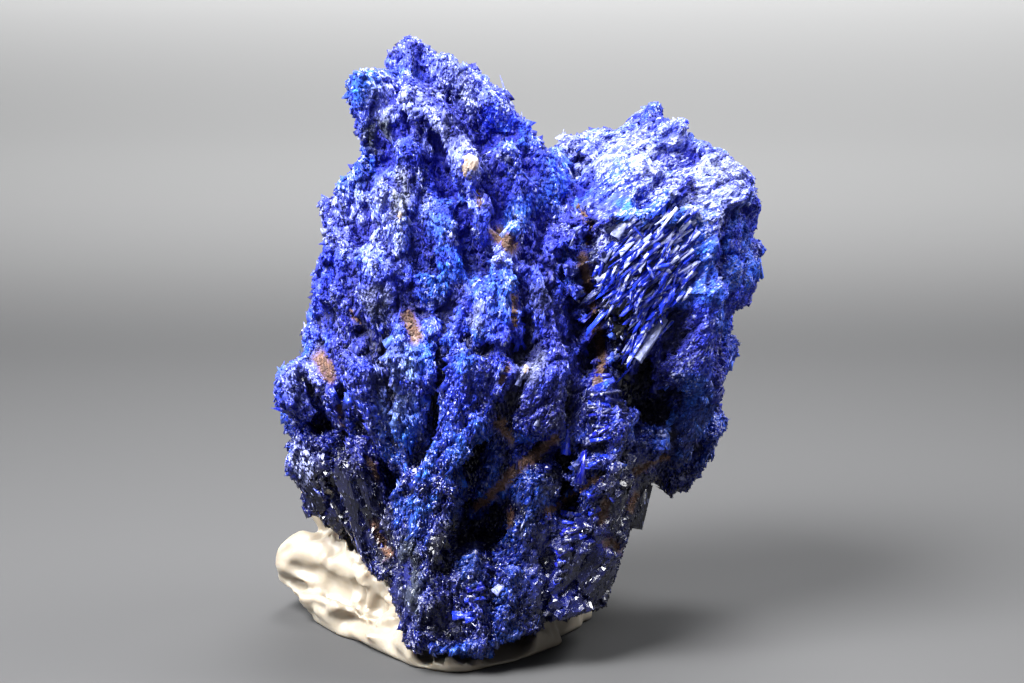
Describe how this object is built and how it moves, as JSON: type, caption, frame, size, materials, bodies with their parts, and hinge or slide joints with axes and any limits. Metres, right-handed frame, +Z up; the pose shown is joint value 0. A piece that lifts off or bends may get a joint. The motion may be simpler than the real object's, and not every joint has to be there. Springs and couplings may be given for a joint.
{
  "type": "azurite crystal specimen",
  "caption": "Rough intergrown azurite crystal cluster with a tall ridged mass and a rounded bladed lobe, standing upright in a kneaded pad of mineral tack.",
  "frame": {"origin": "middle of the whole footprint, on the surface that the tack pad rests on", "axes": "+Z up along the cluster's height, front face of the cluster towards -Y, rounded lobe towards +X"},
  "size_m": [0.027, 0.0212, 0.0328],
  "materials": {
    "azurite": "deep blue glassy crystals",
    "iron_matrix": "dull reddish brown",
    "pale_matrix": "dull beige",
    "mineral_tack": "soft satin cream"
  },
  "bodies": {
    "root": {"azurite_cluster": "azurite", "mineral_tack": "mineral_tack"}
  },
  "joints": []
}
